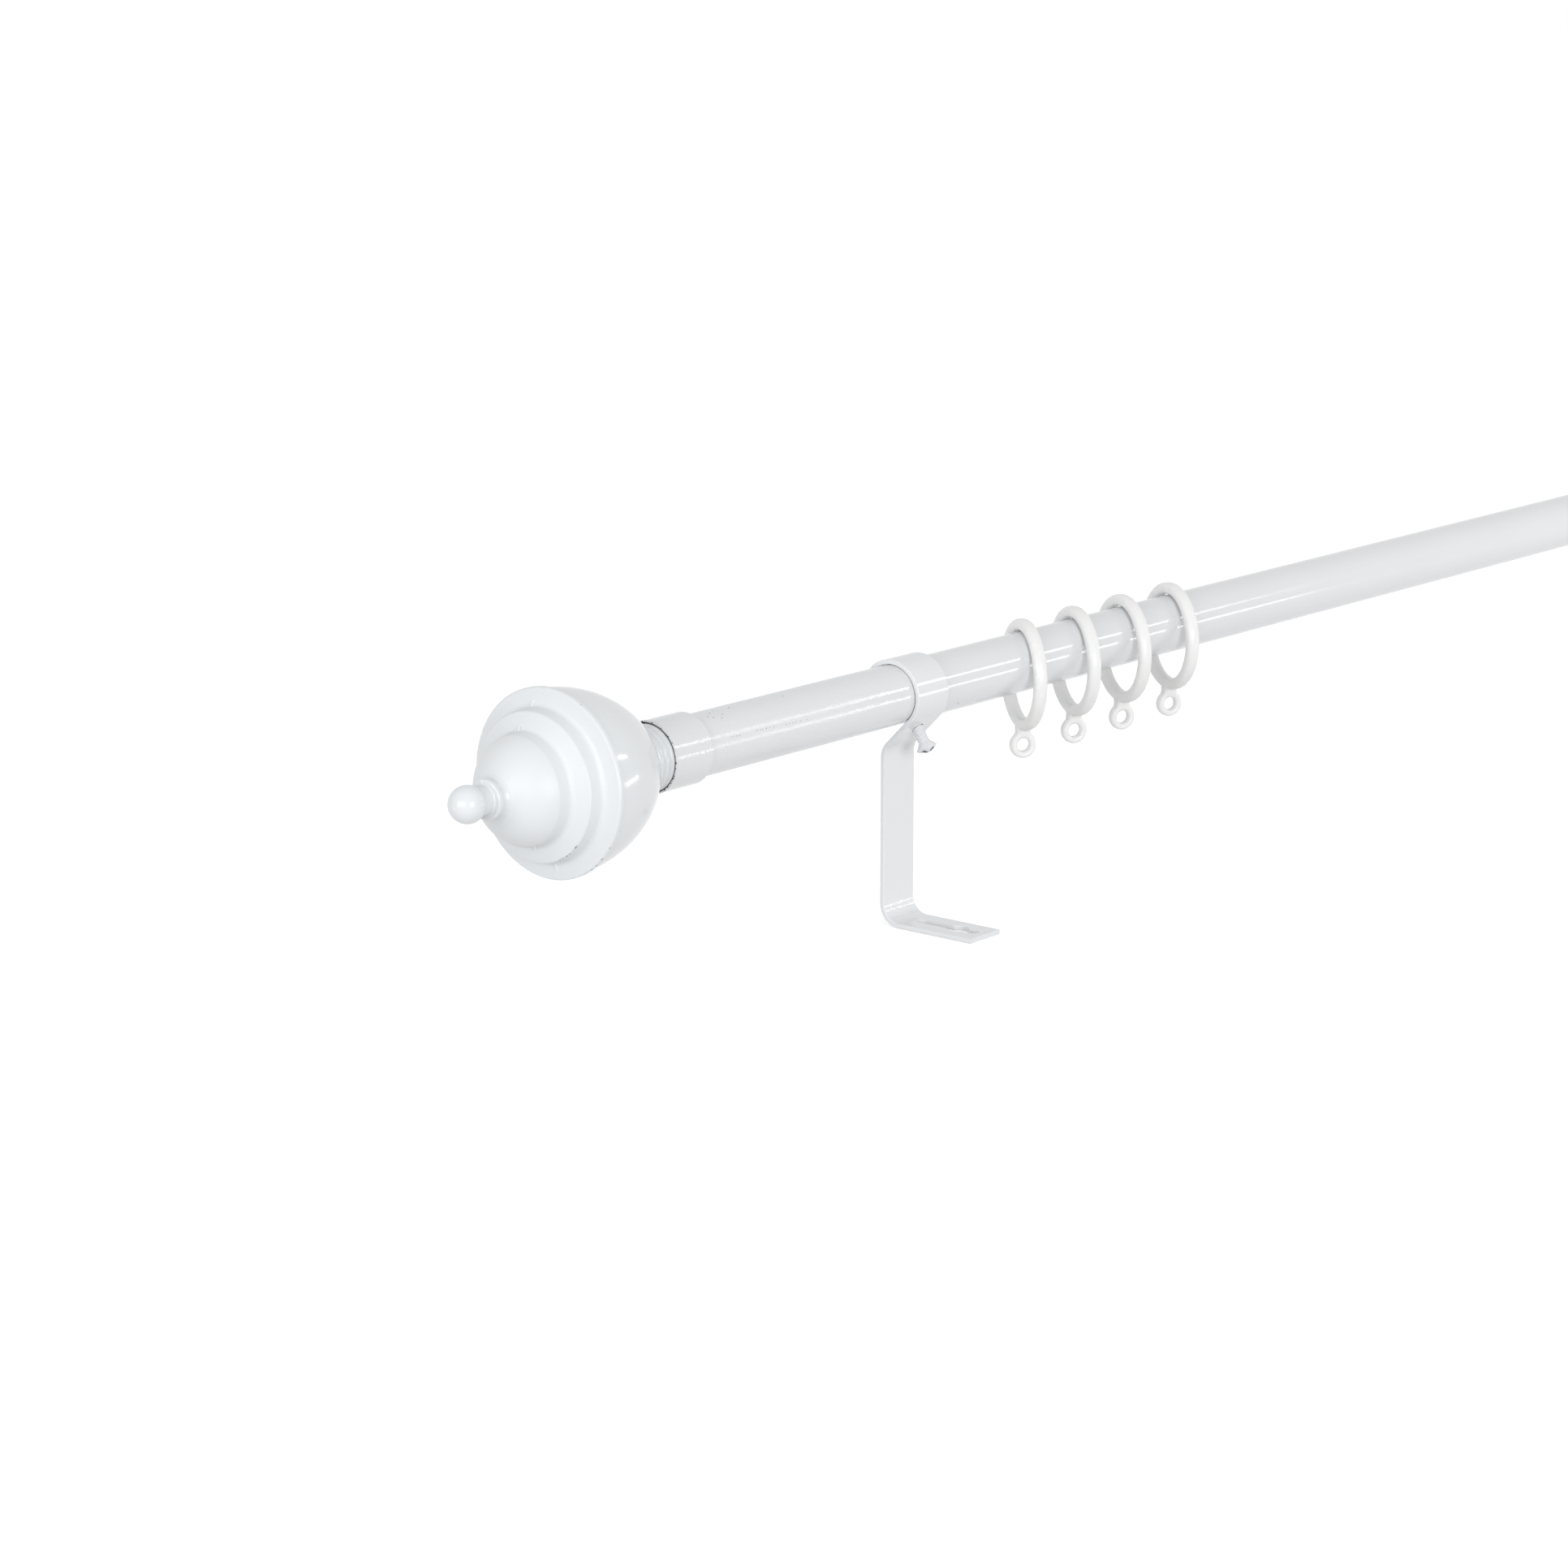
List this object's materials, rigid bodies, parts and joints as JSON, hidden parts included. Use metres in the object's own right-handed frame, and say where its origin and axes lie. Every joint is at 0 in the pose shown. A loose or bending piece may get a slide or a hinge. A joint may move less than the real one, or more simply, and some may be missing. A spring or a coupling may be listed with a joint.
{
  "type": "curtain rod",
  "caption": "Round white curtain rod clamped in bent strap brackets, with stepped screw-in finials on end ferrules and sliding eyelet rings that hang a curtain.",
  "frame": {"origin": "midway along the rod, on the plane under the brackets' feet", "axes": "+X along the rod towards the right finial, -Y the way the brackets' feet point, +Z from the feet up to the rod"},
  "size_m": [1.3876, 0.0627, 0.1072],
  "materials": {
    "white_gloss_paint": "white gloss enamel over a dark coat on steel, with a few chips",
    "finial_moulding": "dark moulding painted gloss white, chipped at its edges",
    "ring_plastic": "milky white moulded plastic"
  },
  "bodies": {
    "rod": {"rod_tube": "white_gloss_paint", "ferrule_left": "white_gloss_paint", "ferrule_right": "white_gloss_paint", "bracket_left": "white_gloss_paint", "bracket_right": "white_gloss_paint"},
    "finial_left": {"finial_left": "finial_moulding"},
    "finial_right": {"finial_right": "finial_moulding"},
    "clamp_screw_left": {"clamp_screw_left": "white_gloss_paint"},
    "clamp_screw_right": {"clamp_screw_right": "white_gloss_paint"},
    "curtain_ring_1": {"curtain_ring_1": "ring_plastic"},
    "curtain_ring_2": {"curtain_ring_2": "ring_plastic"},
    "curtain_ring_3": {"curtain_ring_3": "ring_plastic"},
    "curtain_ring_4": {"curtain_ring_4": "ring_plastic"}
  },
  "joints": [
    {"name": "finial_left_turn", "type": "hinge", "parent": "rod", "child": "finial_left", "pos_m": [-0.617, 0, 0.078], "axis": [-1, 0, 0], "continuous": true},
    {"name": "finial_right_turn", "type": "hinge", "parent": "rod", "child": "finial_right", "pos_m": [0.617, 0, 0.078], "axis": [1, 0, 0], "continuous": true},
    {"name": "clamp_screw_left_turn", "type": "hinge", "parent": "rod", "child": "clamp_screw_left", "pos_m": [-0.4818, 0.00153, 0.07705], "axis": [0, -0.5299, -0.848], "continuous": true},
    {"name": "clamp_screw_right_turn", "type": "hinge", "parent": "rod", "child": "clamp_screw_right", "pos_m": [0.4818, 0.00153, 0.07705], "axis": [0, -0.5299, -0.848], "continuous": true},
    {"name": "curtain_ring_1_slide", "type": "slide", "parent": "rod", "child": "curtain_ring_1", "axis": [1, 0, 0], "range_m": [-0.045, 0.198]},
    {"name": "curtain_ring_2_slide", "type": "slide", "parent": "curtain_ring_1", "child": "curtain_ring_2", "axis": [1, 0, 0], "range_m": [-0.021, 0.198]},
    {"name": "curtain_ring_3_slide", "type": "slide", "parent": "curtain_ring_2", "child": "curtain_ring_3", "axis": [1, 0, 0], "range_m": [-0.0195, 0.198]},
    {"name": "curtain_ring_4_slide", "type": "slide", "parent": "curtain_ring_3", "child": "curtain_ring_4", "axis": [1, 0, 0], "range_m": [-0.0195, 0.198]}
  ]
}
